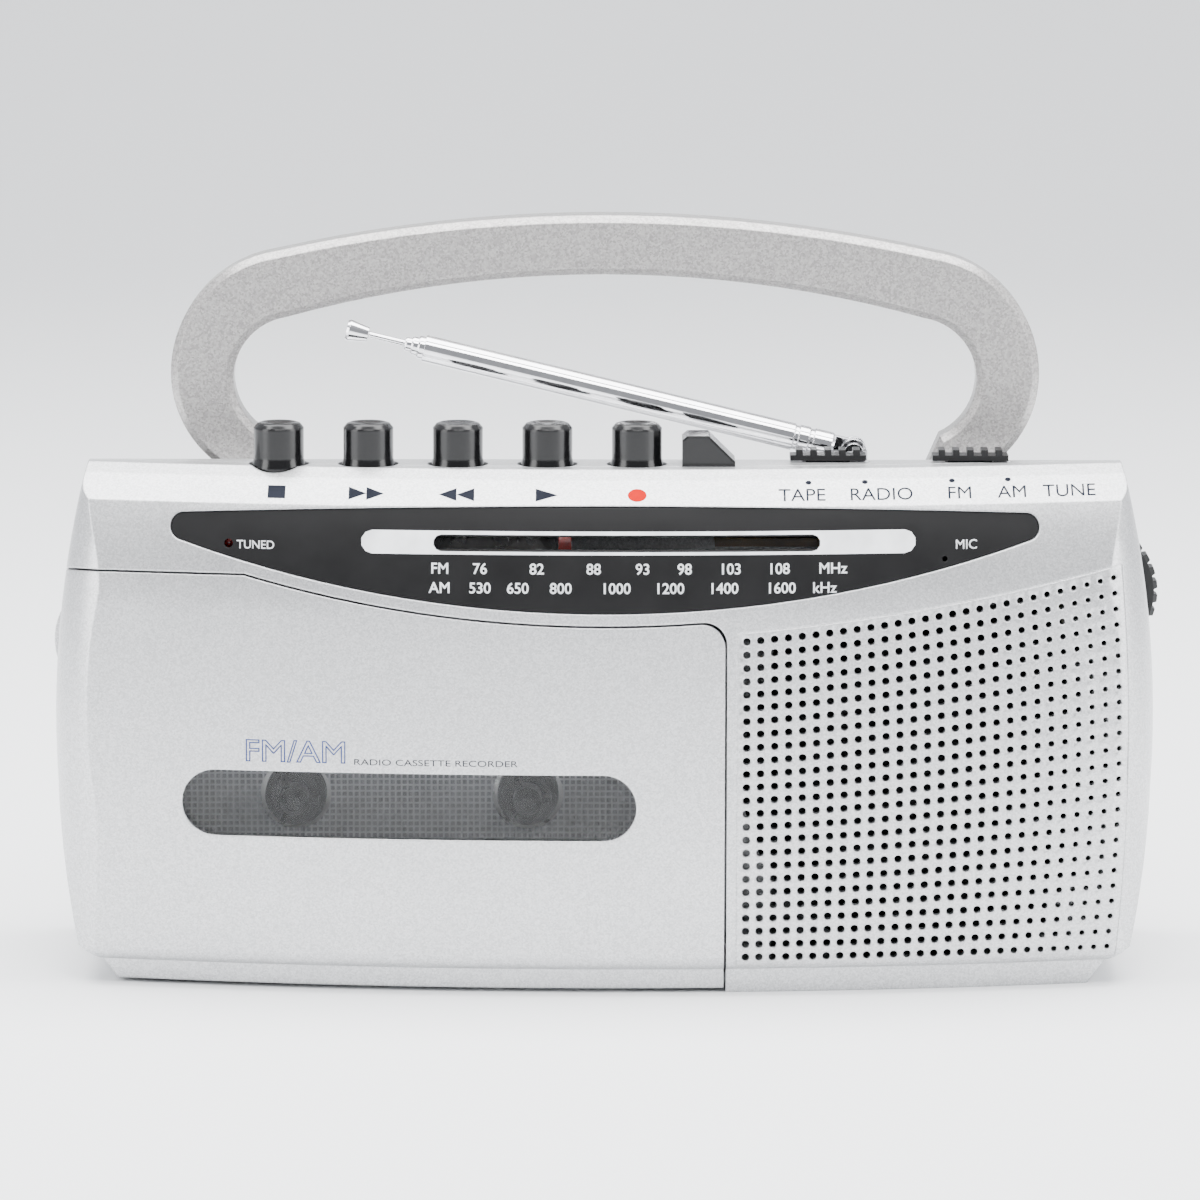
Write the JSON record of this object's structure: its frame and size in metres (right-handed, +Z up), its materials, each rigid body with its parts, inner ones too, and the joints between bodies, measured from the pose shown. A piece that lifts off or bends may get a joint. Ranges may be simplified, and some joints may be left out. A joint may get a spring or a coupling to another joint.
{
  "type": "portable radio cassette recorder",
  "caption": "Portable silver radio-cassette recorder with a folding handle, telescopic antenna, round piano keys, a curved tuning dial, a front cassette door and a perforated speaker grille.",
  "frame": {"origin": "centre of the flat base", "axes": "+Z up, +X to the right seen from the front, -Y towards the front"},
  "size_m": [0.204, 0.0706, 0.1365],
  "materials": {
    "silver": "metallic silver paint with a fine sparkle",
    "handle_silver": "warm grey metallic paint",
    "dial_black": "matt black print",
    "clear": "clear plastic",
    "smoke": "smoked plastic",
    "steel": "plated steel",
    "gloss_black": "gloss black",
    "matt_black": "matt black",
    "board": "phenolic board",
    "ferrite": "ferrite",
    "white_plastic": "clear-cased capacitor",
    "paper": "paper cone",
    "lamp": "red lamp",
    "thread": "waxed thread",
    "belt_rubber": "rubber",
    "pointer_red": "red plastic",
    "chrome": "bright chrome",
    "brass": "turned brass"
  },
  "bodies": {
    "cabinet": {"front_cabinet": "silver", "rear_cabinet": "silver", "speaker_grille": "silver", "dial_panel": "dial_black", "dial_lens": "clear", "case_screws": "steel", "hump_block": "gloss_black", "slide_switches": "matt_black", "circuit_board": "board", "ferrite_rod": "ferrite", "tuning_capacitor": "white_plastic", "volume_control": "matt_black", "speaker_frame": "steel", "speaker_cone": "paper", "speaker_magnet": "ferrite", "tuned_lamp": "lamp", "microphone": "matt_black", "dial_cord": "thread", "cord_pulleys": "matt_black", "deck_plate": "matt_black", "mechanism_chassis": "steel", "motor": "steel", "drive_belt": "belt_rubber", "arm_post": "steel", "transformer": "steel", "mains_inlet": "matt_black", "headphone_jack": "matt_black", "battery_contacts": "steel", "handle_pins": "steel"},
    "door": {"cassette_door": "silver", "door_window": "smoke", "cassette_holder": "matt_black"},
    "battery_door": {"battery_cover": "silver"},
    "stop_key": {"key_stop": "gloss_black"},
    "forward_key": {"key_forward": "gloss_black"},
    "rewind_key": {"key_rewind": "gloss_black"},
    "play_key": {"key_play": "gloss_black"},
    "record_key": {"key_record": "gloss_black"},
    "function_knob": {"function_slider": "matt_black"},
    "band_knob": {"band_slider": "matt_black"},
    "tuning": {"tuning_knob": "matt_black"},
    "pointer": {"dial_pointer": "pointer_red"},
    "volume": {"volume_wheel": "matt_black"},
    "carry_handle": {"handle": "handle_silver"},
    "antenna_swivel": {"antenna_base": "chrome", "antenna_screw": "chrome"},
    "antenna_outer": {"antenna_tube_1": "chrome"},
    "antenna_second": {"antenna_tube_2": "chrome"},
    "antenna_third": {"antenna_tube_3": "chrome"},
    "antenna_fourth": {"antenna_tube_4": "chrome"},
    "antenna_tip": {"antenna_rod": "chrome"},
    "take_up": {"take_up_spindle": "matt_black"},
    "supply": {"supply_spindle": "matt_black"},
    "capstan": {"flywheel": "brass"},
    "motor_shaft": {"motor_pulley": "brass"},
    "bridge": {"head_bridge": "steel", "tape_heads": "steel"},
    "pinch": {"pinch_arm": "steel"},
    "roller": {"pinch_roller": "belt_rubber"}
  },
  "joints": [
    {"name": "door_hinge", "type": "hinge", "parent": "cabinet", "child": "door", "pos_m": [0, -0.028, 0.0095], "axis": [1, 0, 0], "range_deg": [0, 28]},
    {"name": "battery_cover_hinge", "type": "hinge", "parent": "cabinet", "child": "battery_door", "pos_m": [-0.023, 0.0292, 0.0093], "axis": [-1, 0, 0], "range_deg": [0, 75]},
    {"name": "stop_press", "type": "slide", "parent": "cabinet", "child": "stop_key", "axis": [0, 0, -1], "range_m": [0, 0.005], "stiffness_N_per_m": 300, "springref_m": -0.001},
    {"name": "forward_press", "type": "slide", "parent": "cabinet", "child": "forward_key", "axis": [0, 0, -1], "range_m": [0, 0.005], "stiffness_N_per_m": 300, "springref_m": -0.001},
    {"name": "rewind_press", "type": "slide", "parent": "cabinet", "child": "rewind_key", "axis": [0, 0, -1], "range_m": [0, 0.005], "stiffness_N_per_m": 300, "springref_m": -0.001},
    {"name": "play_press", "type": "slide", "parent": "cabinet", "child": "play_key", "axis": [0, 0, -1], "range_m": [0, 0.005], "stiffness_N_per_m": 300, "springref_m": -0.001},
    {"name": "record_press", "type": "slide", "parent": "cabinet", "child": "record_key", "axis": [0, 0, -1], "range_m": [0, 0.005], "stiffness_N_per_m": 300, "springref_m": -0.001},
    {"name": "function_slide", "type": "slide", "parent": "cabinet", "child": "function_knob", "axis": [1, 0, 0], "range_m": [0, 0.003]},
    {"name": "band_slide", "type": "slide", "parent": "cabinet", "child": "band_knob", "axis": [1, 0, 0], "range_m": [0, 0.003]},
    {"name": "tuning_turn", "type": "hinge", "parent": "cabinet", "child": "tuning", "pos_m": [0.0896, 0.01, 0.0675], "axis": [0, 1, 0], "range_deg": [-382, 157]},
    {"name": "pointer_slide", "type": "slide", "parent": "cabinet", "child": "pointer", "axis": [1, 0, 0], "range_m": [-0.0165, 0.0401]},
    {"name": "volume_turn", "type": "hinge", "parent": "cabinet", "child": "volume", "pos_m": [-0.0896, 0.01, 0.059], "axis": [0, 1, 0], "range_deg": [0, 300]},
    {"name": "handle_fold", "type": "hinge", "parent": "cabinet", "child": "carry_handle", "pos_m": [0, 0.0205, 0.082], "axis": [-1, 0, 0], "range_deg": [0, 90]},
    {"name": "antenna_swivel", "type": "hinge", "parent": "cabinet", "child": "antenna_swivel", "pos_m": [0.0456, 0.002, 0.0946], "axis": [0, 0, 1], "range_deg": [-110, 0]},
    {"name": "antenna_tilt", "type": "hinge", "parent": "antenna_swivel", "child": "antenna_outer", "pos_m": [0.0456, 0.002, 0.0946], "axis": [0, 1, 0], "range_deg": [-13.5, 150]},
    {"name": "antenna_second_slide", "type": "slide", "parent": "antenna_outer", "child": "antenna_second", "axis": [-0.9724, 0, 0.2334], "range_m": [0, 0.06]},
    {"name": "antenna_third_slide", "type": "slide", "parent": "antenna_second", "child": "antenna_third", "axis": [-0.9724, 0, 0.2334], "range_m": [0, 0.058]},
    {"name": "antenna_fourth_slide", "type": "slide", "parent": "antenna_third", "child": "antenna_fourth", "axis": [-0.9724, 0, 0.2334], "range_m": [0, 0.056]},
    {"name": "antenna_tip_slide", "type": "slide", "parent": "antenna_fourth", "child": "antenna_tip", "axis": [-0.9724, 0, 0.2334], "range_m": [0, 0.062]},
    {"name": "capstan_spin", "type": "hinge", "parent": "cabinet", "child": "capstan", "pos_m": [-0.06225, 0, 0.057], "axis": [0, 1, 0], "continuous": true},
    {"name": "motor_spin", "type": "hinge", "parent": "cabinet", "child": "motor_shaft", "pos_m": [-0.02, 0, 0.0715], "axis": [0, 1, 0], "continuous": true},
    {"name": "take_up_spin", "type": "hinge", "parent": "cabinet", "child": "take_up", "pos_m": [-0.0565, -0.01, 0.0326], "axis": [0, 1, 0], "continuous": true},
    {"name": "supply_spin", "type": "hinge", "parent": "cabinet", "child": "supply", "pos_m": [-0.014, -0.01, 0.0326], "axis": [0, 1, 0], "continuous": true},
    {"name": "bridge_slide", "type": "slide", "parent": "cabinet", "child": "bridge", "axis": [0, 0, -1], "range_m": [0, 0.004]},
    {"name": "pinch_swing", "type": "hinge", "parent": "cabinet", "child": "pinch", "pos_m": [-0.07805, -0.0115, 0.0673], "axis": [0, 1, 0], "range_deg": [0, 14.7]},
    {"name": "roller_spin", "type": "hinge", "parent": "pinch", "child": "roller", "pos_m": [-0.06225, -0.018, 0.0673], "axis": [0, 1, 0], "continuous": true}
  ],
  "couplings": [
    {"joint": "pointer_slide", "follows": "tuning_turn", "m_per_rad": -0.006},
    {"joint": "motor_spin", "follows": "capstan_spin", "ratio": 5.6},
    {"joint": "take_up_spin", "follows": "capstan_spin", "ratio": -0.25},
    {"joint": "bridge_slide", "follows": "play_press", "ratio": 0.8},
    {"joint": "pinch_swing", "follows": "play_press", "rad_per_m": 50.964}
  ]
}
